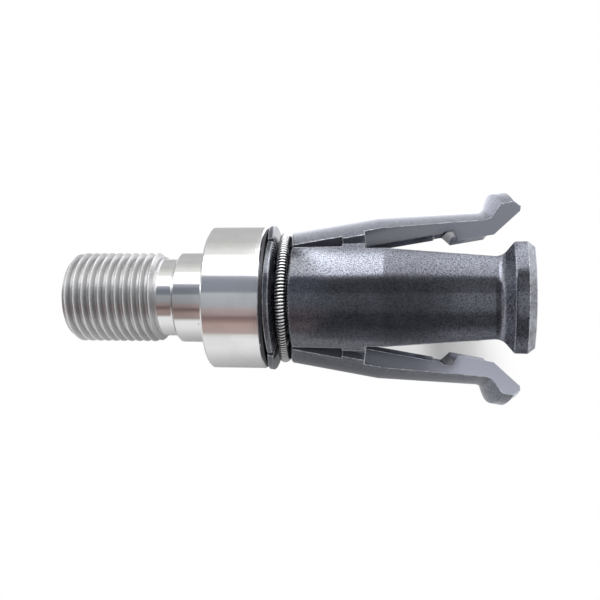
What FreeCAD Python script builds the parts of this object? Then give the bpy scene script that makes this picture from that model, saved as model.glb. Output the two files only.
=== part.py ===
import FreeCAD, Part
import Sketcher
import math
import os

# Gripper collet of the drawbar kind for a hollow taper shank, size 80.
#
# A bright turned carrier screws onto a drawbar. Four hooked fingers stand
# round its spigot, held in at the rear by a garter spring, and rest with
# their rear ribs on a black buffer ring. They are splayed open at rest and
# swing inwards on their beads until the side pads nearly meet.
#
# Frame: the origin is on the axis at the rear seat face of the collar, +X
# runs towards the hooks and +Z is up. Two of the fingers point down, so that
# the collet lies on two hooks and its collar. All sizes are in millimetres.

VECTOR = FreeCAD.Vector
AXIS_X = VECTOR(1, 0, 0)
AXIS_Y = VECTOR(0, 1, 0)
AXIS_Z = VECTOR(0, 0, 1)

# Driving sizes: alias, value, what it is
SIZES = [
    ("thread_dia", 22.0, "major diameter of the drawbar thread"),
    ("thread_pitch", 2.0, "pitch of the drawbar thread"),
    ("thread_angle", 60.0, "angle between the flanks of the thread, in degrees"),
    ("thread_len", 22.7, "rear end to the front of the thread"),
    ("thread_chamfer", 1.3, "chamfer at the rear end of the thread"),
    ("neck_dia", 19.0, "undercut behind the pilot"),
    ("neck_len", 4.0, "length of the undercut"),
    ("neck_round", 0.8, "radius in the corners of the undercut"),
    ("pilot_dia", 22.0, "ground pilot diameter"),
    ("pilot_len", 8.2, "length of the pilot"),
    ("collar_dia", 34.4, "guide diameter of the collar"),
    ("collar_len", 13.2, "length of the collar"),
    ("edge_break", 0.4, "small chamfer on turned edges"),
    ("rod_bore_dia", 11.0, "bore for the expander rod"),
    ("spigot_dia", 18.6, "spigot inside the finger roots"),
    ("head_dia", 21.8, "retaining head of the spigot"),
    ("head_len", 4.0, "length of the retaining head"),
    ("head_chamfer", 1.0, "lead-in chamfer of the retaining head"),
    ("head_gap", 0.8, "running gap between bead and retaining head"),
    ("ring_inset", 0.3, "buffer ring below the collar, per side"),
    ("ring_fit", 0.1, "clearance of the buffer ring on the spigot, per side"),
    ("ring_thick", 0.5, "thickness of the buffer ring"),
    ("finger_count", 4, "number of gripper fingers"),
    ("splay_angle", 9.7, "tilt of a finger at rest, in degrees"),
    ("pivot_station", 20.0, "bead centre from the seat face"),
    ("pivot_rad", 11.2, "bead centre from the axis"),
    ("bead_rad", 1.6, "radius of the bead"),
    ("bead_station", 5.1, "bead centre from the rear face of the finger"),
    ("bore_rad", 13.1, "inside radius of a finger, as turned"),
    ("foot_rad", 12.4, "inside radius of the foot, as turned"),
    ("foot_len", 4.1, "length of the foot"),
    ("rib_rad", 20.2, "outside of the rear rib, as turned"),
    ("rib_thick", 1.35, "thickness of the rear rib"),
    ("rib_break", 0.2, "chamfer on the rib's edges"),
    ("groove_rad", 14.6, "floor of the spring groove, as turned"),
    ("groove_wide", 3.6, "width of the spring groove"),
    ("groove_round", 0.4, "radius in the corners of the spring groove"),
    ("shank_rad", 17.7, "outside of a finger's shank, as turned"),
    ("shank_end", 25.9, "rear face to the end of the cylindrical shank"),
    ("root_station", 50.1, "rear face to the root of the hook"),
    ("root_rad", 14.8, "radius at the root of the hook"),
    ("root_round", 2.4, "fillet at the root of the hook"),
    ("hook_rad", 18.7, "outside of the hook, as turned"),
    ("hook_angle", 60.0, "clamping face from the axis, in degrees"),
    ("hook_round", 0.5, "rounding on the edge of the clamping face"),
    ("land_len", 2.5, "land on top of the hook"),
    ("front_chamfer", 1.6, "chamfer in front of the land"),
    ("nose_high", 1.3, "height of the flat nose"),
    ("nose_round", 0.5, "rounding of the nose"),
    ("throat_rad", 10.3, "inside radius under the hook, as turned"),
    ("throat_station", 42.7, "rear face to the start of the throat"),
    ("ramp_angle", 68.0, "ramp in front of the bore, in degrees"),
    ("relief_deep", 0.5, "depth of the relief behind the ramp"),
    ("relief_wide", 1.8, "width of the relief behind the ramp"),
    ("rib_slot", 2.5, "half slot between ribs, as cut"),
    ("shank_slot", 1.75, "half slot between shanks, as cut"),
    ("pad_slot", 0.95, "half slot between side pads, as cut"),
    ("hook_slot", 2.4, "half slot between the cones and hooks, as cut"),
    ("pad_start", 16.5, "rear face to the start of the side pads"),
    ("pad_end", 21.6, "rear face to the end of the side pads"),
    ("spring_station", 17.75, "garter spring from the seat face"),
    ("spring_rad", 14.5, "centre line of the garter spring"),
    ("coil_dia", 2.3, "outside of the spring's coil"),
]

# Room beyond the finger for the tools that cut its slots
CUT_ROOM = 5.0


class Size:
    """A length that carries its number and its expression in the sheet."""

    def __init__(self, value, text):
        self.value = float(value)
        self.text = text

    def __add__(self, other):
        other = as_size(other)
        return Size(self.value + other.value, f"({self.text} + {other.text})")

    def __sub__(self, other):
        other = as_size(other)
        return Size(self.value - other.value, f"({self.text} - {other.text})")

    def __mul__(self, other):
        other = as_size(other)
        return Size(self.value * other.value, f"{self.text} * {other.text}")

    def __truediv__(self, other):
        other = as_size(other)
        return Size(self.value / other.value, f"{self.text} / {other.text}")

    def __neg__(self):
        return Size(-self.value, f"(-1 * {self.text})")


def as_size(number):
    """A plain number takes part in expressions as itself."""
    if isinstance(number, Size):
        return number
    return Size(number, f"{number:g}")


def tangent(angle):
    """Tangent of an angle in degrees."""
    return Size(math.tan(math.radians(angle.value)), f"tan({angle.text})")


def make_sheet(doc):
    """Put the driving sizes into a spreadsheet and return them by alias."""
    sheet = doc.addObject("Spreadsheet::Sheet", "Sizes")
    sizes = {}
    for row, (alias, value, meaning) in enumerate(SIZES, start=1):
        sheet.set(f"A{row}", meaning)
        sheet.set(f"B{row}", f"{value:g}")
        sheet.setAlias(f"B{row}", alias)
        sizes[alias] = Size(value, f"Sizes.{alias}")
    doc.recompute()
    return sizes


def origin_plane(body, role):
    """One of a body's own origin planes, found by its role."""
    for feature in body.Origin.OriginFeatures:
        if feature.Role == role:
            return feature
    raise ValueError(role)


def make_body(doc, label):
    """A body with its own name and label."""
    body = doc.addObject("PartDesign::Body", label)
    body.Label = label
    return body


def new_sketch(body, name, role, offset=None):
    """A sketch on an origin plane, moved along the plane's normal."""
    sketch = body.newObject("Sketcher::SketchObject", name)
    sketch.AttachmentSupport = [(origin_plane(body, role), "")]
    sketch.MapMode = "FlatFace"
    if offset is not None:
        sketch.setExpression("AttachmentOffset.Base.z", offset.text)
    return sketch


def bind(sketch, kind, items, size):
    """Add a dimension to a sketch and tie it to the sheet."""
    index = sketch.addConstraint(Sketcher.Constraint(kind, *items, size.value))
    sketch.setExpression(f"Constraints[{index}]", size.text)


def pin_point(sketch, geo, pos, across, along):
    """Fix a point of a sketch at two sizes from the sketch's origin."""
    bind(sketch, "DistanceX", (-1, 1, geo, pos), across)
    bind(sketch, "DistanceY", (-1, 1, geo, pos), along)


def rounded_corner(before, corner, after, radius):
    """Where a fillet touches its two lines, its centre and its turn."""
    back = (before - corner).normalize()
    ahead = (after - corner).normalize()
    half = math.acos(max(-1.0, min(1.0, back.dot(ahead)))) / 2
    reach = radius / math.tan(half)
    middle = (back + ahead).normalize()
    centre = corner + middle * (radius / math.sin(half))
    left_turn = back.cross(ahead).z < 0
    return corner + back * reach, corner + ahead * reach, centre, left_turn


def outline(sketch, corners):
    """Close a sketch through corners given as (across, along[, radius])."""
    points = [VECTOR(c[0].value, c[1].value, 0) for c in corners]
    count = len(corners)
    starts, ends, arcs = {}, {}, {}
    for i, corner in enumerate(corners):
        starts[i] = ends[i] = points[i]
        if len(corner) > 2:
            found = rounded_corner(points[i - 1], points[i], points[(i + 1) % count], corner[2].value)
            ends[i], starts[i], centre, left_turn = found
            arcs[i] = (centre, left_turn)
    lines = []
    for i in range(count):
        segment = Part.LineSegment(starts[i], ends[(i + 1) % count])
        lines.append(sketch.addGeometry(segment, False))
    for i, corner in enumerate(corners):
        into, out = lines[i - 1], lines[i]
        if i not in arcs:
            sketch.addConstraint(Sketcher.Constraint("Coincident", into, 2, out, 1))
            pin_point(sketch, out, 1, corner[0], corner[1])
            continue
        centre, left_turn = arcs[i]
        first, last = (ends[i], starts[i]) if left_turn else (starts[i], ends[i])
        turn_from = math.atan2(first.y - centre.y, first.x - centre.x)
        turn_to = math.atan2(last.y - centre.y, last.x - centre.x)
        circle = Part.Circle(centre, AXIS_Z, corner[2].value)
        arc = sketch.addGeometry(Part.ArcOfCircle(circle, turn_from, turn_to), False)
        near, far = (1, 2) if left_turn else (2, 1)
        sketch.addConstraint(Sketcher.Constraint("Tangent", into, 2, arc, near))
        sketch.addConstraint(Sketcher.Constraint("Tangent", arc, far, out, 1))
        bind(sketch, "Radius", (arc,), corner[2])
        mark = sketch.addGeometry(Part.Point(points[i]), True)
        pin_point(sketch, mark, 1, corner[0], corner[1])
        sketch.addConstraint(Sketcher.Constraint("PointOnObject", mark, 1, into))
        sketch.addConstraint(Sketcher.Constraint("PointOnObject", mark, 1, out))


def circle_sketch(sketch, across, along, radius):
    """A circle whose centre and radius come from the sheet."""
    centre = VECTOR(across.value, along.value, 0)
    geo = sketch.addGeometry(Part.Circle(centre, AXIS_Z, radius.value), False)
    pin_point(sketch, geo, 3, across, along)
    bind(sketch, "Radius", (geo,), radius)


def revolve(body, name, sketch, angle=None):
    """Turn a sketch about the X axis, all round or evenly about its plane."""
    turned = body.newObject("PartDesign::Revolution", name)
    turned.Profile = sketch
    turned.ReferenceAxis = (sketch, ["H_Axis"])
    turned.Angle = 360
    if angle is not None:
        turned.Midplane = True
        turned.setExpression("Angle", angle.text)
    return turned


def make_carrier(doc, size):
    """Threaded rear end, undercut, pilot, collar and the spigot with its head."""
    body = make_body(doc, "carrier")
    edge = size["edge_break"]
    thread = size["thread_dia"] / 2
    neck = size["neck_dia"] / 2
    pilot = size["pilot_dia"] / 2
    collar = size["collar_dia"] / 2
    spigot = size["spigot_dia"] / 2
    head = size["head_dia"] / 2
    bore = size["rod_bore_dia"] / 2
    zero = as_size(0)

    pilot_back = -size["pilot_len"]
    thread_front = pilot_back - size["neck_len"]
    rear = thread_front - size["thread_len"]
    collar_front = size["collar_len"]
    head_back = size["pivot_station"] + size["bead_rad"] + size["head_gap"]
    head_front = head_back + size["head_len"]

    profile = new_sketch(body, "carrier_profile", "XZ_Plane")
    outline(profile, [
        (rear, bore + edge),
        (rear, thread - size["thread_chamfer"]),
        (rear + size["thread_chamfer"], thread),
        (thread_front - (thread - neck), thread),
        (thread_front, neck),
        (pilot_back, neck, size["neck_round"]),
        (pilot_back, pilot - edge),
        (pilot_back + edge, pilot),
        (zero, pilot),
        (zero, collar - edge),
        (edge, collar),
        (collar_front - edge, collar),
        (collar_front, collar - edge),
        (collar_front, spigot),
        (head_back, spigot, size["neck_round"]),
        (head_back, head - edge),
        (head_back + edge, head),
        (head_front - size["head_chamfer"], head),
        (head_front, head - size["head_chamfer"]),
        (head_front, bore + edge),
        (head_front - edge, bore),
        (rear + edge, bore),
    ])
    revolve(body, "carrier_turned", profile)
    doc.recompute()
    cut_thread(doc, body, size, rear, thread_front, thread)
    return body


def cut_thread(doc, body, size, rear, front, thread):
    """Cut the metric thread from behind the rear end into the undercut."""
    pitch = size["thread_pitch"]
    depth = pitch * 0.6134
    half_root = pitch / 8
    above = pitch / 16
    half_mouth = half_root + (depth + above) * tangent(size["thread_angle"] / 2)
    start = rear - pitch
    section = new_sketch(body, "thread_section", "XZ_Plane")
    outline(section, [
        (start - half_mouth, thread + above),
        (start + half_mouth, thread + above),
        (start + half_root, thread - depth),
        (start - half_root, thread - depth),
    ])
    cut = body.newObject("PartDesign::SubtractiveHelix", "thread_cut")
    cut.Profile = section
    cut.ReferenceAxis = (section, ["H_Axis"])
    cut.Mode = "pitch-height-angle"
    cut.setExpression("Pitch", pitch.text)
    cut.setExpression("Height", (front - start).text)
    doc.recompute()


def make_ring(doc, size):
    """Flat buffer ring between the collar and the ribs of the fingers."""
    body = make_body(doc, "buffer_ring")
    sketch = new_sketch(body, "ring_outline", "YZ_Plane", size["collar_len"])
    zero = as_size(0)
    circle_sketch(sketch, zero, zero, size["collar_dia"] / 2 - size["ring_inset"])
    circle_sketch(sketch, zero, zero, size["spigot_dia"] / 2 + size["ring_fit"])
    pad = body.newObject("PartDesign::Pad", "ring_pad")
    pad.Profile = sketch
    pad.setExpression("Length", size["ring_thick"].text)
    return body


def cut_slot(doc, body, size, name, half_slot, back, front):
    """Trim both sides of a finger to a flat parallel to its parting plane."""
    sketch = new_sketch(body, f"{name}_flats", "YZ_Plane", front)
    rise = half_slot * math.sqrt(2)
    low = size["throat_rad"] / 4
    high = size["rib_rad"]
    room = as_size(CUT_ROOM)
    for side in (1, -1):
        outline(sketch, [
            (low * side, low + rise),
            (high * side, high + rise),
            ((high + room) * side, high - room),
            ((low + room) * side, low - room),
        ])
    before = body.Tip.Shape.Volume
    pocket = body.newObject("PartDesign::Pocket", name)
    pocket.Profile = sketch
    pocket.setExpression("Length", (front - back).text)
    doc.recompute()
    if pocket.Shape.Volume >= before:
        raise RuntimeError(f"{name} cuts nothing")


def make_finger(doc, size, index):
    """One hooked finger, turned about its own axis and trimmed at its sides."""
    label = f"gripper_finger_{index + 1}"
    body = make_body(doc, label)
    edge = size["edge_break"]
    rib_edge = size["rib_break"]
    zero = as_size(0)
    groove_front = size["rib_thick"] + size["groove_wide"]
    hook_rise = size["hook_rad"] - size["root_rad"]
    land_back = size["root_station"] + hook_rise / tangent(size["hook_angle"])
    land_front = land_back + size["land_len"]
    nose = land_front + size["front_chamfer"]
    nose_top = size["hook_rad"] - size["front_chamfer"]
    nose_low = nose_top - size["nose_high"]
    throat_front = nose - (nose_low - size["throat_rad"])
    relief = size["bore_rad"] + size["relief_deep"]
    ramp_back = size["throat_station"] - (relief - size["throat_rad"]) / tangent(size["ramp_angle"])
    relief_back = ramp_back - size["relief_wide"]

    profile = new_sketch(body, "finger_profile", "XZ_Plane")
    outline(profile, [
        (zero, size["foot_rad"]),
        (zero, size["rib_rad"] - rib_edge),
        (rib_edge, size["rib_rad"]),
        (size["rib_thick"] - rib_edge, size["rib_rad"]),
        (size["rib_thick"], size["rib_rad"] - rib_edge),
        (size["rib_thick"], size["groove_rad"], size["groove_round"]),
        (groove_front, size["groove_rad"], size["groove_round"]),
        (groove_front, size["shank_rad"] - edge),
        (groove_front + edge, size["shank_rad"]),
        (size["shank_end"], size["shank_rad"]),
        (size["root_station"], size["root_rad"], size["root_round"]),
        (land_back, size["hook_rad"], size["hook_round"]),
        (land_front, size["hook_rad"]),
        (nose, nose_top, size["nose_round"]),
        (nose, nose_low, size["nose_round"]),
        (throat_front, size["throat_rad"]),
        (size["throat_station"], size["throat_rad"]),
        (ramp_back, relief, size["relief_deep"]),
        (relief_back, relief),
        (relief_back - size["relief_deep"], size["bore_rad"]),
        (size["foot_len"], size["bore_rad"]),
        (size["foot_len"], size["foot_rad"]),
    ])
    sector = as_size(360) / size["finger_count"]
    revolve(body, "finger_turned", profile, sector)
    doc.recompute()

    bead = new_sketch(body, "bead_profile", "XZ_Plane")
    circle_sketch(bead, size["bead_station"], size["bore_rad"], size["bead_rad"])
    revolve(body, "bead_turned", bead, sector)
    doc.recompute()

    room = as_size(CUT_ROOM)
    cut_slot(doc, body, size, "rib_slot", size["rib_slot"], -room, groove_front)
    cut_slot(doc, body, size, "shank_slot", size["shank_slot"], groove_front, size["pad_start"])
    cut_slot(doc, body, size, "pad_slot", size["pad_slot"], size["pad_start"], size["pad_end"])
    cut_slot(doc, body, size, "hook_slot", size["hook_slot"], size["pad_end"], nose + room)

    body.Placement = finger_placement(size, index)
    return body


def finger_placement(size, index):
    """Splay a finger about its bead and turn it to its place round the axis."""
    bead = VECTOR(size["bead_station"].value, 0, size["bore_rad"].value)
    pivot = VECTOR(size["pivot_station"].value, 0, size["pivot_rad"].value)
    splay = FreeCAD.Rotation(AXIS_Y, -size["splay_angle"].value)
    step = 360.0 / size["finger_count"].value
    turn = FreeCAD.Rotation(AXIS_X, -step / 2 + step * index)
    tilted = FreeCAD.Placement(pivot, splay) * FreeCAD.Placement(-bead, FreeCAD.Rotation())
    return FreeCAD.Placement(VECTOR(), turn) * tilted


def make_spring(doc, size):
    """The garter spring as the closed ring that its coil fills."""
    ring = doc.addObject("Part::Torus", "garter_spring")
    ring.Label = "garter_spring"
    ring.setExpression("Radius1", size["spring_rad"].text)
    ring.setExpression("Radius2", (size["coil_dia"] / 2).text)
    station = VECTOR(size["spring_station"].value, 0, 0)
    ring.Placement = FreeCAD.Placement(station, FreeCAD.Rotation(AXIS_Y, 90))
    ring.setExpression("Placement.Base.x", size["spring_station"].text)
    return ring


def check(doc, parts):
    """Stop at any failed object or part before anything is written."""
    for item in doc.Objects:
        if "Invalid" in item.State or "Error" in item.State:
            raise RuntimeError(f"{item.Label} failed: {item.State}")
    for part in parts:
        if part.Shape.isNull() or not part.Shape.isValid():
            raise RuntimeError(f"{part.Label} has no valid shape")
        if len(part.Shape.Solids) != 1:
            raise RuntimeError(f"{part.Label} is {len(part.Shape.Solids)} solids")


def build():
    """Make every part, check it and write it out under its label."""
    doc = FreeCAD.newDocument("gripper_collet")
    size = make_sheet(doc)
    parts = [
        make_carrier(doc, size),
        make_ring(doc, size),
        make_spring(doc, size),
    ]
    for index in range(int(size["finger_count"].value)):
        parts.append(make_finger(doc, size, index))
    doc.recompute()
    check(doc, parts)
    os.makedirs("parts", exist_ok=True)
    for part in parts:
        part.Shape.exportStep(f"parts/{part.Label}.step")
        print(part.Label, round(part.Shape.Volume, 1), len(part.Shape.Faces))


build()
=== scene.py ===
import math

import bpy
from mathutils import Matrix, Vector


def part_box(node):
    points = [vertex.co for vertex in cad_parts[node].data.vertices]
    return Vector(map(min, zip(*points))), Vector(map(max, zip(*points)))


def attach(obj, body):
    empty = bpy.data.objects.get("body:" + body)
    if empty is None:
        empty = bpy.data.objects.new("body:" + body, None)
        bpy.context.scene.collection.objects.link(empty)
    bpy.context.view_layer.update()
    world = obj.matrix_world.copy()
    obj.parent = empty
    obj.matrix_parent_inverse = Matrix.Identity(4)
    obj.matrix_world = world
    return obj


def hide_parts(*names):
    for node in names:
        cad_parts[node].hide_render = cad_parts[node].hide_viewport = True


bl_info = {
    "name": "Gripper collet finishes",
    "version": (1, 0, 0),
    "blender": (4, 5, 0),
    "location": "View3D > Sidebar > Collet",
    "description": "Finishes, garter coil and photo stage of a drawbar gripper collet",
    "category": "Object",
}

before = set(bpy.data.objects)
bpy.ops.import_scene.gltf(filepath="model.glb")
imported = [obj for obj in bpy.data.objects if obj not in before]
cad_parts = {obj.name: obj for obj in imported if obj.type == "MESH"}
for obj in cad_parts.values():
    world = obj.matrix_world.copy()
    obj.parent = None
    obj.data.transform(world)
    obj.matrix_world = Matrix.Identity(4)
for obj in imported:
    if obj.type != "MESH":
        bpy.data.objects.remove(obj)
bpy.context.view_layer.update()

FINGERS = [f"gripper_finger_{number}" for number in (1, 2, 3, 4)]
CAMERA_SIDE = Vector((0, -math.sqrt(0.5), math.sqrt(0.5)))
IMAGE_UP = Vector((0, math.sqrt(0.5), math.sqrt(0.5)))

# Places on the collet, in metres from the seat face or from the axis
THREAD_FRONT = -0.0122
CREST_RADIUS = 0.0108
STEEL_FRONT = 0.00605
MIDDLE_STATION = 0.02
CONE_MIDDLE = 0.049
HOOK_ROOT = 0.0565
NOSE_CHAMFER = 0.0679

# Turned edges and the lathe's feed
EDGE_BREAK = 0.00008
FEED_SLOPE = 0.73
NICK_COLOUR = (0.25, 0.23, 0.21, 1)

# The coil: how far it stands out of the solid ring, and how finely its wire is made
COIL_PROUD = 0.0003
WIRE_SIDES = 8
STEPS_PER_TURN = 14

# The stage: plain light on matt surfaces, the reflector, and how the camera is turned and set down
PLAIN_LIGHT = 0.85
CARD_LENGTH = 0.6
CARD_STATION = 0.03
CAMERA_TURN = {"Z": 0.298, "Y": 4.578, "X": 0.449}
CAMERA_DROP = 0.00161

# What the metal reflects: degrees round the X axis from the camera's side, and the light there
STEEL_BANDS = [
    (-180, (0.60, 0.60, 0.60)), (-100, (0.80, 0.80, 0.78)), (-55, (0.92, 0.92, 0.89)),
    (-52, (0.54, 0.44, 0.41)), (-38, (0.54, 0.40, 0.37)), (-32, (0.32, 0.22, 0.20)),
    (-28, (0.24, 0.17, 0.17)), (-24, (0.45, 0.35, 0.35)), (-18, (0.50, 0.41, 0.39)),
    (-13, (0.50, 0.51, 0.54)), (5, (0.56, 0.60, 0.62)), (7, (0.30, 0.33, 0.38)),
    (21, (0.32, 0.35, 0.40)), (30, (0.46, 0.47, 0.52)), (34, (1.00, 1.00, 1.00)),
    (66, (1.00, 1.00, 0.97)), (70, (0.98, 0.98, 0.95)), (80, (0.76, 0.76, 0.73)),
    (92, (0.66, 0.66, 0.64)), (105, (0.66, 0.66, 0.66)), (125, (0.60, 0.60, 0.60)),
    (180, (0.60, 0.60, 0.60)),
]
FINGER_BANDS = [
    (-180, 0.30), (-80, 0.46), (-66, 0.44), (-58, 0.20), (-45, 0.09), (-38, 0.03), (-22, 0.03),
    (-16, 0.12), (4, 0.16), (7, 0.07), (19, 0.07), (24, 0.12), (28, 0.32), (31, 0.65), (60, 1.05),
    (74, 1.05), (85, 0.84), (105, 0.80), (130, 0.82), (180, 0.72),
]


def ring_middle(node):
    """Station, centre line radius and thickness of a ring round the X axis."""
    low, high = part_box(node)
    thick = high.x - low.x
    return (low.x + high.x) / 2, high.z - thick / 2, thick


COIL_STATION, COIL_RING, COIL_OUTSIDE = ring_middle("garter_spring")


class Value:
    """A shader socket that takes part in Python expressions."""

    def __init__(self, finish, socket):
        self.finish = finish
        self.socket = socket

    def math(self, operation, *numbers):
        made = self.finish.node("ShaderNodeMath", {"operation": operation}, dict(enumerate(numbers)))
        return Value(self.finish, made.outputs[0])

    def __add__(self, other):
        return self.math("ADD", self, other)

    def __sub__(self, other):
        return self.math("SUBTRACT", self, other)

    def __rsub__(self, other):
        return self.math("SUBTRACT", other, self)

    def __mul__(self, other):
        return self.math("MULTIPLY", self, other)

    __radd__ = __add__
    __rmul__ = __mul__

    def either(self, other):
        """The larger of two values."""
        return self.math("MAXIMUM", self, other)

    def root(self):
        """Square root."""
        return self.math("SQRT", self)

    def cosine(self):
        """Cosine of an angle in radians."""
        return self.math("COSINE", self)

    def band(self, low, high):
        """0 below low, 1 above high, and smooth between them."""
        made = self.finish.node(
            "ShaderNodeMapRange",
            {"interpolation_type": "SMOOTHSTEP"},
            {"Value": self, "From Min": low, "From Max": high},
        )
        return Value(self.finish, made.outputs[0])

    def past(self, place, blend):
        """0 before a place, 1 past it, and smooth this far to each side of it."""
        return self.band(place - blend, place + blend)


class Finish:
    """A finish being mixed: a material or world, its nodes and its output."""

    def __init__(self, block):
        block.use_nodes = True
        self.block = block
        self.tree = block.node_tree
        self.tree.nodes.clear()

    def node(self, kind, settings=None, inputs=None):
        """Add a node: its settings first, then the values or links of its sockets."""
        made = self.tree.nodes.new(kind)
        for name, value in (settings or {}).items():
            if name == "stops":
                steps = made.color_ramp.elements
                while len(steps) > 1:
                    steps.remove(steps[-1])
                steps[0].position, steps[0].color = value[0]
                for position, colour in value[1:]:
                    steps.new(position).color = colour
            else:
                setattr(made, name, value)
        for key, value in (inputs or {}).items():
            if isinstance(value, Value):
                self.tree.links.new(value.socket, made.inputs[key])
            else:
                made.inputs[key].default_value = value
        return made

    def value(self, kind, settings=None, inputs=None, output=0):
        """A node's output as a value."""
        return Value(self, self.node(kind, settings, inputs).outputs[output])

    def place(self):
        """Object coordinates, and the X, Y and Z in them."""
        spot = self.value("ShaderNodeTexCoord", output="Object")
        split = self.node("ShaderNodeSeparateXYZ", inputs={0: spot})
        return spot, [Value(self, socket) for socket in split.outputs]

    def noise(self, spot, size, detail=2.0, rough=0.5):
        """Cloudy noise whose features are about this size in metres."""
        return self.value(
            "ShaderNodeTexNoise",
            inputs={"Vector": spot, "Scale": 1 / size, "Detail": detail, "Roughness": rough},
        )

    def lines(self, station, size, detail=2.0):
        """Fine lines at changing stations, about this far apart in metres."""
        return self.value(
            "ShaderNodeTexNoise",
            {"noise_dimensions": "1D"},
            {"W": station, "Scale": 1 / size, "Detail": detail},
        )

    def mix(self, factor, first, second):
        """One colour over another."""
        made = self.node("ShaderNodeMix", {"data_type": "RGBA"}, {0: factor, 6: first, 7: second})
        return Value(self, made.outputs[2])

    def bump(self, height, depth, strength=1.0, under=None):
        """A surface normal from a height of this depth in metres."""
        inputs = {"Height": height, "Distance": depth, "Strength": strength}
        if under is not None:
            inputs["Normal"] = under
        return self.value("ShaderNodeBump", inputs=inputs)

    def rounded(self, size):
        """Normals rounded over the edges."""
        return self.value("ShaderNodeBevel", {"samples": 6}, {"Radius": size})

    def edges(self, soft):
        """Where rounded normals part from the surface's own."""
        true = self.value("ShaderNodeNewGeometry", output="Normal")
        facing = self.value(
            "ShaderNodeVectorMath", {"operation": "DOT_PRODUCT"}, {0: soft, 1: true}, output="Value")
        return (1 - facing).band(0.01, 0.12)

    def normal(self):
        """The X, Y and Z of the surface's own normal."""
        facing = self.value("ShaderNodeNewGeometry", output="Normal")
        split = self.node("ShaderNodeSeparateXYZ", inputs={0: facing})
        return [Value(self, socket) for socket in split.outputs]

    def outward(self, across, up, out):
        """How far the surface faces away from the X axis, up to 1."""
        facing = self.normal()
        away = facing[1] * across + facing[2] * up
        return away.math("DIVIDE", away, out)

    def endwise(self):
        """How far the surface faces along the X axis, up to 1."""
        along = self.normal()[0]
        return along.math("ABSOLUTE", along)

    def surface(self, inputs):
        """Finish the material with its shader."""
        shader = self.node("ShaderNodeBsdfPrincipled", inputs=inputs)
        self.node("ShaderNodeOutputMaterial", inputs={"Surface": Value(self, shader.outputs[0])})
        return self.block


def opaque(colour):
    """A colour with its alpha."""
    return (*colour[:3], 1.0)


def tone(colour, share):
    """A colour made darker or lighter, with its alpha."""
    return opaque([share * part for part in colour])


def turned_steel(name, colour, settings):
    """Bright steel with turning marks, faint smudges and a few nicks, duller on the thread, with painted
    shade on the thread's flanks.
    """
    steel = Finish(bpy.data.materials.new(name))
    spot, (along, across, up) = steel.place()
    out = (across * across + up * up).root()
    station = along + FEED_SLOPE * out
    marks = steel.lines(station, settings.turning_pitch, 1.0)
    waves = steel.lines(station, settings.turning_pitch * 9, 2.0)
    smudge = steel.noise(spot, 0.006, 3.0).band(0.45, 0.7)
    nick = steel.noise(spot, 0.0013, 3.0, 0.7).band(0.70, 0.76)
    thread = 1 - along.past(THREAD_FRONT, 0.0002)
    crest = thread * out.past(CREST_RADIUS, 0.0001)
    flank = thread - crest
    base = steel.mix(smudge * 0.35, opaque(colour), tone(colour, 0.86))
    # Painted shade: the thread's flanks are darkened towards a third of the steel's colour.
    base = steel.mix(flank * 0.42, base, tone(colour, 0.35))
    base = steel.mix(nick * 0.5, base, NICK_COLOUR)
    rough = settings.steel_roughness + 0.07 * marks + 0.05 * smudge + 0.1 * nick
    rough = rough + 0.3 * flank + 0.15 * crest
    height = marks * 0.6 + waves * 0.4
    return steel.surface({
        "Base Color": base,
        "Metallic": 1 - 0.45 * crest,
        "Roughness": rough,
        "Normal": steel.bump(height, settings.turning_depth, 0.6, steel.rounded(EDGE_BREAK)),
    })


def black_oxide(name, colour, settings):
    """Blued black steel: satin, finely grained, lighter with wear along its edges, with painted light on its
    side faces, hooks and nose chamfer.
    """
    oxide = Finish(bpy.data.materials.new(name))
    spot, (along, across, up) = oxide.place()
    out = (across * across + up * up).root()
    soft = oxide.rounded(settings.edge_wear)
    grain = oxide.noise(spot, 0.0002, 1.0, 0.5)
    cloud = oxide.noise(spot, 0.004, 3.0, 0.6)
    rub_and_light_mottle = oxide.noise(spot, 0.0012, 3.0, 0.7).band(0.4, 0.62)
    outward = oxide.outward(across, up, out)
    endwise = oxide.endwise()
    ends = endwise.band(0.3, 0.5)
    side = (1 - outward.band(-0.05, 0.25)) * (1 - 0.4 * ends)
    hook_side = side * (1 - ends) * along.past(CONE_MIDDLE, 0.013)
    hook_face = endwise.band(0.5, 0.7) * outward.band(0.1, 0.3) * along.past(HOOK_ROOT, 0.0015)
    chamfer = endwise.band(0.5, 0.65) * outward.band(0.3, 0.45) * along.past(NOSE_CHAMFER, 0.0004)
    # Wear along the edges, and a painted highlight on the nose chamfer, both in the colour of the edge wear.
    wear_and_chamfer_light = (oxide.edges(soft) * (0.35 + 0.65 * rub_and_light_mottle)).either(chamfer * (0.24 + 0.18 * rub_and_light_mottle))
    base = oxide.mix(cloud.band(0.3, 0.7), tone(colour, 0.8), tone(colour, 1.2))
    # Painted light: the side faces are lightened, speckled with the grain.
    base = oxide.mix(side * (0.6 + 0.8 * grain), base, tone(colour, 2.2))
    # Painted light on the hooks' end faces, mottled with the same noise.
    base = oxide.mix(hook_face * (0.5 + rub_and_light_mottle), base, tone(colour, 4.5))
    # Painted light on the hooks' side faces past the cone's middle.
    base = oxide.mix(hook_side * 0.5, base, tone(colour, 5.5))
    base = oxide.mix(wear_and_chamfer_light, base, opaque(settings.wear_and_highlight_colour))
    return oxide.surface({
        "Base Color": base,
        "Metallic": (wear_and_chamfer_light * 0.5).either(grain.band(0.44, 0.60) * (0.75 - 0.6 * side)),
        "Roughness": settings.oxide_roughness + 0.05 * cloud + 0.2 * wear_and_chamfer_light,
        "IOR": 2.2,
        "Specular Tint": (0.86, 0.90, 1.0, 1.0),
        "Normal": oxide.bump(grain, settings.grain_depth, 1.0, soft),
    })


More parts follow.
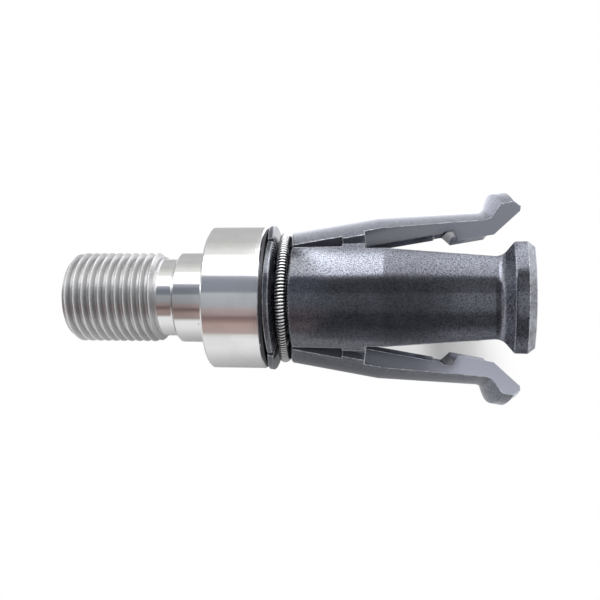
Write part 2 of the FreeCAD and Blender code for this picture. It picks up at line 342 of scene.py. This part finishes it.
def ring_black(name, colour):
    """Near-black buffer ring with faint turning marks."""
    ring = Finish(bpy.data.materials.new(name))
    spot, (along, across, up) = ring.place()
    out = (across * across + up * up).root()
    marks = ring.lines(along + 0.7 * out, 0.00018)
    cloud = ring.noise(spot, 0.003, 3.0)
    base = ring.mix(cloud, tone(colour, 0.7), tone(colour, 1.4))
    return ring.surface({
        "Base Color": base,
        "Roughness": 0.38 + 0.15 * cloud,
        "Normal": ring.bump(marks, 0.00001, 0.5),
    })


def spring_wire(name, colour, coil):
    """Drawn wire, its full colour on the outside of the coil, with painted shade between its turns and on the
    inside.
    """
    wire = Finish(bpy.data.materials.new(name))
    spot, (along, across, up) = wire.place()
    round_ring = across.math("ARCTAN2", across, up)
    lean = (0.5 - 0.5 * (len(FINGERS) * round_ring).cosine()) * coil.sway
    out = (across * across + up * up).root() - coil.ring
    off = along + lean - coil.station
    round_coil = out.math("ARCTAN2", out, off)
    crest = 0 - (coil.turns * round_ring + round_coil).cosine()
    inside = coil.outside / 2 - coil.wire
    seen = (off * off + out * out).root().band(inside - 0.0001, inside + 0.0003) * crest.band(-0.2, 0.5)
    streak = wire.noise(spot, 0.0004, 2.0)
    # Painted shade: the wire is darkened to a fifth of its colour between its turns and on the inside of the
    # coil.
    base = wire.mix(seen, tone(colour, 0.2), opaque(colour))
    base = wire.mix(streak.band(0.5, 0.75) * 0.3, base, tone(colour, 0.6))
    return wire.surface({
        "Base Color": base,
        "Metallic": 1.0,
        "Roughness": 0.30 + 0.14 * streak,
        "Normal": wire.bump(streak, 0.000006, 0.5),
    })


def give(finish, *nodes):
    """Put one finish on CAD nodes."""
    for node in nodes:
        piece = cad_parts[node]
        for held in piece.material_slots:
            held.material = finish


def active(name):
    """Name the object that was just made."""
    made = bpy.context.object
    made.name = name
    made.data.name = name
    return made


def resting_floor():
    """Point and slope of the plane that the collet lies on, seen from the side."""
    corners = [point.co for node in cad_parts.values() for point in node.data.vertices]
    points = sorted({(round(corner.x, 5), round(corner.z, 5)) for corner in corners})
    lower = []
    for point in points:
        while len(lower) > 1:
            (ax, az), (bx, bz) = lower[-2], lower[-1]
            if (bx - ax) * (point[1] - az) - (bz - az) * (point[0] - ax) > 0:
                break
            lower.pop()
        lower.append(point)
    for (ax, az), (bx, bz) in zip(lower, lower[1:]):
        if ax <= bpy.context.scene.collet_stage.balance <= bx:
            return Vector((ax, 0, az)), math.atan2(bz - az, bx - ax)
    raise RuntimeError("nothing of the collet reaches below its balance point")


class ColletFinishes(bpy.types.PropertyGroup):
    """Colours and surface detail of the collet's pieces."""

    steel_colour: bpy.props.FloatVectorProperty(
        name="Turned steel", description="Colour of the bright carrier", default=(0.74, 0.74, 0.745),
        subtype="COLOR", min=0, max=1)
    steel_roughness: bpy.props.FloatProperty(
        name="Steel roughness", description="How dull the bright steel is", default=0.07,
        min=0, max=1, subtype="FACTOR")
    turning_pitch: bpy.props.FloatProperty(
        name="Turning marks", description="Distance between the lathe's marks", default=0.00014,
        subtype="DISTANCE", unit="LENGTH")
    turning_depth: bpy.props.FloatProperty(
        name="Depth of the marks", description="Depth of the lathe's marks", default=0.000012,
        subtype="DISTANCE", unit="LENGTH")
    oxide_colour: bpy.props.FloatVectorProperty(
        name="Black oxide", description="Colour of the fingers", default=(0.027, 0.028, 0.035),
        subtype="COLOR", min=0, max=1)
    oxide_roughness: bpy.props.FloatProperty(
        name="Oxide roughness", description="How dull the fingers are", default=0.05,
        min=0, max=1, subtype="FACTOR")
    grain_depth: bpy.props.FloatProperty(
        name="Grain", description="Depth of the fine grain on the fingers", default=0.000012,
        subtype="DISTANCE", unit="LENGTH")
    edge_wear: bpy.props.FloatProperty(
        name="Edge wear", description="Width of the worn line along the edges", default=0.00036,
        subtype="DISTANCE", unit="LENGTH")
    # Colour of the edge wear, also used for the painted highlight on the fingers' nose chamfer
    wear_and_highlight_colour: bpy.props.FloatVectorProperty(
        name="Worn edges", description="Colour where the oxide has rubbed off", default=(0.66, 0.67, 0.70),
        subtype="COLOR", min=0, max=1)
    ring_colour: bpy.props.FloatVectorProperty(
        name="Buffer ring", description="Colour of the ring behind the fingers",
        default=(0.010, 0.010, 0.013), subtype="COLOR", min=0, max=1)
    wire_colour: bpy.props.FloatVectorProperty(
        name="Spring wire", description="Colour of the garter spring", default=(0.78, 0.78, 0.77),
        subtype="COLOR", min=0, max=1)


class ColletCoil(bpy.types.PropertyGroup):
    """Sizes of the garter spring."""

    station: bpy.props.FloatProperty(
        name="Station", description="Middle of the spring from the seat face", default=COIL_STATION,
        subtype="DISTANCE", unit="LENGTH")
    ring: bpy.props.FloatProperty(
        name="Ring", description="Radius of the spring's centre line", default=COIL_RING,
        subtype="DISTANCE", unit="LENGTH")
    outside: bpy.props.FloatProperty(
        name="Coil", description="Outside of the coil", default=COIL_OUTSIDE + COIL_PROUD,
        subtype="DISTANCE", unit="LENGTH")
    sway: bpy.props.FloatProperty(
        name="Sway", description="How far the spring leans back at each finger", default=0.00028,
        subtype="DISTANCE", unit="LENGTH")
    wire: bpy.props.FloatProperty(
        name="Wire", description="Thickness of the wire", default=0.0005,
        subtype="DISTANCE", unit="LENGTH")
    turns: bpy.props.IntProperty(
        name="Turns", description="Turns of wire round the whole ring", default=126, min=8)


class ColletStage(bpy.types.PropertyGroup):
    """Floor, lamps and camera."""

    balance: bpy.props.FloatProperty(
        name="Balance point", description="Station of the collet's centre of mass", default=0.016,
        subtype="DISTANCE", unit="LENGTH")
    floor_size: bpy.props.FloatProperty(
        name="Floor", description="Radius of the floor", default=0.6, subtype="DISTANCE", unit="LENGTH")
    card_radius: bpy.props.FloatProperty(
        name="Reflector", description="Radius of the reflector round the collet", default=0.07,
        subtype="DISTANCE", unit="LENGTH")
    view_distance: bpy.props.FloatProperty(
        name="Camera distance", description="Camera from the collet's axis", default=0.14309,
        subtype="DISTANCE", unit="LENGTH")
    view_station: bpy.props.FloatProperty(
        name="Camera station", description="Camera along the collet", default=0.03228,
        subtype="DISTANCE", unit="LENGTH")
    lens: bpy.props.FloatProperty(
        name="Lens", description="Focal length of the camera in millimetres", default=35.151, min=1)


class COLLET_OT_carrier(bpy.types.Operator):
    """Give the threaded carrier its bright turned finish"""

    bl_idname = "collet.carrier"
    bl_label = "Turned carrier"

    def execute(self, context):
        settings = context.scene.collet_finishes
        give(turned_steel("turned_steel", settings.steel_colour, settings), "carrier")
        return {"FINISHED"}


class COLLET_OT_fingers(bpy.types.Operator):
    """Give the gripper fingers their black oxide finish"""

    bl_idname = "collet.fingers"
    bl_label = "Black fingers"

    def execute(self, context):
        settings = context.scene.collet_finishes
        give(black_oxide("black_oxide", settings.oxide_colour, settings), *FINGERS)
        return {"FINISHED"}


class COLLET_OT_buffer_ring(bpy.types.Operator):
    """Give the buffer ring its near-black finish"""

    bl_idname = "collet.buffer_ring"
    bl_label = "Buffer ring"

    def execute(self, context):
        give(ring_black("ring_black", context.scene.collet_finishes.ring_colour), "buffer_ring")
        return {"FINISHED"}


class COLLET_OT_garter_coil(bpy.types.Operator):
    """Wind the garter spring as one closed coil of wire"""

    bl_idname = "collet.garter_coil"
    bl_label = "Garter spring"

    def execute(self, context):
        coil = context.scene.collet_coil
        length = 2 * math.pi * coil.ring
        winding = (coil.outside - coil.wire) / 2
        bpy.ops.object.select_all(action="DESELECT")
        bpy.ops.mesh.primitive_circle_add(
            vertices=WIRE_SIDES, radius=coil.wire / 2, location=(winding, 0, 0), rotation=(math.pi / 2, 0, 0))
        spring = active("garter_coil")
        bpy.ops.object.transform_apply(location=True, rotation=True, scale=True)
        wind = spring.modifiers.new("wind", "SCREW")
        wind.axis = "Z"
        wind.steps = wind.render_steps = STEPS_PER_TURN
        wind.iterations = coil.turns
        wind.screw_offset = length / coil.turns
        wind.use_smooth_shade = True
        bpy.ops.object.modifier_apply(modifier=wind.name)
        close = spring.modifiers.new("close", "SIMPLE_DEFORM")
        close.deform_method = "BEND"
        close.deform_axis = "X"
        tall = spring.dimensions.z
        close.angle = 2 * math.pi * tall / length
        bpy.ops.object.modifier_apply(modifier=close.name)
        corners = [point.co for point in spring.data.vertices]
        low, high = [Vector(pick(corner[i] for corner in corners) for i in range(3)) for pick in (min, max)]
        middle = (low + high) / 2
        spring.location = Vector((coil.station, 0, 0)) - Vector((0, middle.y, middle.z))
        bpy.ops.object.transform_apply(location=True, rotation=True, scale=True)
        for point in spring.data.vertices:
            turn = math.atan2(point.co.y, point.co.z)
            point.co.x -= coil.sway * (0.5 - 0.5 * math.cos(len(FINGERS) * turn))
        bpy.ops.object.mode_set(mode="EDIT")
        bpy.ops.mesh.select_all(action="SELECT")
        bpy.ops.mesh.remove_doubles(threshold=coil.wire / 20)
        bpy.ops.mesh.normals_make_consistent(inside=False)
        bpy.ops.object.mode_set(mode="OBJECT")
        bpy.ops.object.shade_smooth()
        finishes = context.scene.collet_finishes
        spring.data.materials.append(spring_wire("spring_wire", finishes.wire_colour, coil))
        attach(spring, "carrier_unit")
        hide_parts("garter_spring")
        return {"FINISHED"}


class COLLET_OT_stage(bpy.types.Operator):
    """Set the floor, the reflector, the lamps and the camera of the photo"""

    bl_idname = "collet.stage"
    bl_label = "Photo stage"

    def execute(self, context):
        stage = context.scene.collet_stage
        make_floor(stage)
        make_reflector(stage)
        make_world()
        make_lamps()
        make_camera(stage)
        context.scene.view_settings.view_transform = "Standard"
        return {"FINISHED"}


def shown_white(finish):
    """1 for rays that show the background: from the camera, gloss and glass."""
    path = finish.node("ShaderNodeLightPath")
    camera, gloss, glass = [
        Value(finish, path.outputs[f"Is {name} Ray"]) for name in ("Camera", "Glossy", "Transmission")]
    return camera.either(gloss).either(glass)


def make_floor(stage):
    """A white floor under the collet's hooks and collar, which keeps its shadow, with painted shadow near the
    middle and painted light over the shadow in places.
    """
    touch, slope = resting_floor()
    bpy.ops.object.select_all(action="DESELECT")
    bpy.ops.mesh.primitive_circle_add(
        vertices=64, radius=stage.floor_size, fill_type="NGON", location=touch, rotation=(0, -slope, 0))
    floor = active("floor")
    bpy.ops.object.transform_apply(location=True, rotation=True, scale=True)
    sheet = Finish(bpy.data.materials.new("floor_white"))
    spot, (along, across, up) = sheet.place()
    off = along - MIDDLE_STATION
    far = (0.35 * off * off + across * across).root()
    camera = sheet.value("ShaderNodeLightPath", output="Is Camera Ray")
    # Painted light: the camera sees plain white over the floor's shadow on the near side and past the thread
    # end, all white rays see it past the nose, and the camera sees a lighter shadow up to 50 mm along the
    # collet.
    lee = (-1 * across).band(-0.001, 0.006).either(along.band(0.006, -0.008)) * camera
    away = far.band(0.018, 0.048).either(lee).either(along.band(0.060, 0.078))
    glow = 0.12 + 0.5 * camera * along.band(0.058, 0.050)
    # Painted shadow: the floor's colour darkens from light grey to mid grey towards the collet's middle.
    paper_and_shadow = sheet.mix(far.band(0.012, 0.045), (0.58, 0.58, 0.58, 1), (0.92, 0.92, 0.92, 1))
    lit = sheet.value("ShaderNodeBsdfDiffuse", inputs={"Color": paper_and_shadow})
    white = sheet.value("ShaderNodeEmission", inputs={"Color": (1, 1, 1, 1), "Strength": 1.0})
    near = sheet.value("ShaderNodeMixShader", inputs={0: glow, 1: lit, 2: white})
    seen = sheet.value("ShaderNodeMixShader", inputs={0: away, 1: near, 2: white})
    both = sheet.value("ShaderNodeMixShader", inputs={0: shown_white(sheet), 1: lit, 2: seen})
    sheet.node("ShaderNodeOutputMaterial", inputs={"Surface": both})
    floor.data.materials.append(sheet.block)


def stops(bands):
    """Stops of a colour ramp from degrees round the X axis."""
    return [((angle + 180) / 360, opaque(colour)) for angle, colour in bands]


def make_reflector(stage):
    """A studio's bands of light and dark round the collet, for reflections only."""
    bpy.ops.object.select_all(action="DESELECT")
    bpy.ops.mesh.primitive_cylinder_add(
        vertices=96, radius=stage.card_radius, depth=CARD_LENGTH, end_fill_type="NOTHING",
        location=(CARD_STATION, 0, 0), rotation=(0, math.pi / 2, 0))
    card = active("reflector")
    bpy.ops.object.transform_apply(location=True, rotation=True, scale=True)
    paint = Finish(bpy.data.materials.new("reflector_bands"))
    spot, (along, across, up) = paint.place()
    toward = (up - across) * math.sqrt(0.5)
    above = (up + across) * math.sqrt(0.5)
    turn = above.math("ARCTAN2", above, toward) * (0.5 / math.pi) + 0.5
    rear = paint.value("ShaderNodeValToRGB", {"stops": stops(STEEL_BANDS)}, {0: turn})
    greys = [(angle, (grey, grey, 1.04 * grey)) for angle, grey in FINGER_BANDS]
    fore = paint.value("ShaderNodeValToRGB", {"stops": stops(greys)}, {0: turn})
    beyond = along.band(0.09, 0.15)
    fore = paint.mix(beyond, fore, (0.8, 0.8, 0.82, 1))
    window = turn.band(0.578, 0.588) * (1 - turn.band(0.655, 0.675))
    box_top = (turn - 0.035 * along.band(0.022, 0.006)).band(0.630, 0.700)
    box = turn.band(0.578, 0.588) * (1 - box_top)
    front = turn.band(0.33, 0.36) * (1 - turn.band(0.55, 0.57))
    fade = along.band(0.028, 0.042)
    nose = along.band(0.050, 0.065)
    flag = turn.band(0.665, 0.69) * (1 - turn.band(0.72, 0.74))
    flag = flag * along.band(0.042, 0.05) * (1 - along.band(0.076, 0.09))
    strength = 2.3 + box * (1.2 + 4.6 * (1 - fade) + 0.8 * nose)
    strength = strength + front * (4.5 * nose - 0.5 * fade) * (1 - beyond)
    strength = strength * (1 - 0.75 * flag)
    fore_glow = paint.value("ShaderNodeEmission", inputs={"Color": fore, "Strength": strength})
    lift = window * (1 + 1.6 * along.band(-0.018, -0.010))
    shade = 0.3 * front * along.band(-0.013, -0.019)
    rear_glow = paint.value("ShaderNodeEmission", inputs={"Color": rear, "Strength": 1 + lift - shade})
    fingers = along.past(STEEL_FRONT, 0.00075)
    glow = paint.value("ShaderNodeMixShader", inputs={0: fingers, 1: rear_glow, 2: fore_glow})
    paint.node("ShaderNodeOutputMaterial", inputs={"Surface": glow})
    card.data.materials.append(paint.block)
    card.visible_camera = card.visible_diffuse = card.visible_shadow = False
    card.visible_transmission = card.visible_volume_scatter = False


def make_world():
    """White behind everything, and a plain light on matt surfaces."""
    sky = Finish(bpy.data.worlds.new("white_studio"))
    seen = shown_white(sky)
    strength = PLAIN_LIGHT + (1 - PLAIN_LIGHT) * seen
    back = sky.value("ShaderNodeBackground", inputs={"Color": (1, 1, 1, 1), "Strength": strength})
    sky.node("ShaderNodeOutputWorld", inputs={"Surface": back})
    bpy.context.scene.world = sky.block


def make_lamps():
    """One soft box above and behind, and a weak one from the camera's side."""
    middle = Vector((MIDDLE_STATION, 0, 0))
    for name, direction, distance, size, power in (
        ("soft_box", 0.3 * IMAGE_UP + CAMERA_SIDE, 0.5, 0.3, 0.6),
        ("fill", Vector((-0.5, 0, 0)) + CAMERA_SIDE, 0.6, 0.4, 0.3),
    ):
        lamp = bpy.data.lights.new(name, "AREA")
        lamp.shape = "SQUARE"
        lamp.size = size
        lamp.energy = power
        holder = bpy.data.objects.new(name, lamp)
        bpy.context.scene.collection.objects.link(holder)
        holder.location = middle + direction.normalized() * distance
        holder.rotation_euler = direction.to_track_quat("Z", "Y").to_euler()
        holder.visible_glossy = False
        holder.visible_camera = False


def make_camera(stage):
    """The photo's view: square on to one finger, close to the collet."""
    held = Matrix((Vector((1, 0, 0)), IMAGE_UP, CAMERA_SIDE)).transposed()
    aim = Matrix.Identity(3)
    for axis, degrees in CAMERA_TURN.items():
        aim = aim @ Matrix.Rotation(math.radians(degrees), 3, axis)
    lens = bpy.data.cameras.new("camera")
    lens.lens = stage.lens
    lens.sensor_width = 36
    lens.clip_start = 0.01
    lens.clip_end = 5
    camera = bpy.data.objects.new("camera", lens)
    bpy.context.scene.collection.objects.link(camera)
    spot = Vector((stage.view_station, 0, 0)) - CAMERA_DROP * IMAGE_UP + stage.view_distance * CAMERA_SIDE
    camera.matrix_world = Matrix.Translation(spot) @ (held @ aim).to_4x4()
    bpy.context.scene.camera = camera


class COLLET_PT_sidebar(bpy.types.Panel):
    """The collet's tools in the 3D view"""

    bl_idname = "COLLET_PT_sidebar"
    bl_label = "Gripper collet"
    bl_space_type = "VIEW_3D"
    bl_region_type = "UI"
    bl_category = "Collet"

    def draw(self, context):
        layout = self.layout
        for group in (context.scene.collet_finishes, context.scene.collet_coil, context.scene.collet_stage):
            box = layout.box()
            for name in group.__annotations__:
                box.prop(group, name)
        for operator in OPERATORS:
            layout.operator(operator.bl_idname)


GROUPS = {"collet_finishes": ColletFinishes, "collet_coil": ColletCoil, "collet_stage": ColletStage}
OPERATORS = [
    COLLET_OT_carrier,
    COLLET_OT_fingers,
    COLLET_OT_buffer_ring,
    COLLET_OT_garter_coil,
    COLLET_OT_stage,
]
CLASSES = [*GROUPS.values(), *OPERATORS, COLLET_PT_sidebar]


def register():
    """Register the classes and hang their settings on the scene."""
    for item in CLASSES:
        bpy.utils.register_class(item)
    for name, group in GROUPS.items():
        setattr(bpy.types.Scene, name, bpy.props.PointerProperty(type=group))


def unregister():
    """Take the settings and the classes away again."""
    for name in GROUPS:
        delattr(bpy.types.Scene, name)
    for item in reversed(CLASSES):
        bpy.utils.unregister_class(item)


def main():
    """Make every piece and the stage."""
    register()
    bpy.ops.collet.carrier()
    bpy.ops.collet.fingers()
    bpy.ops.collet.buffer_ring()
    bpy.ops.collet.garter_coil()
    bpy.ops.collet.stage()


if __name__ == "__main__":
    main()
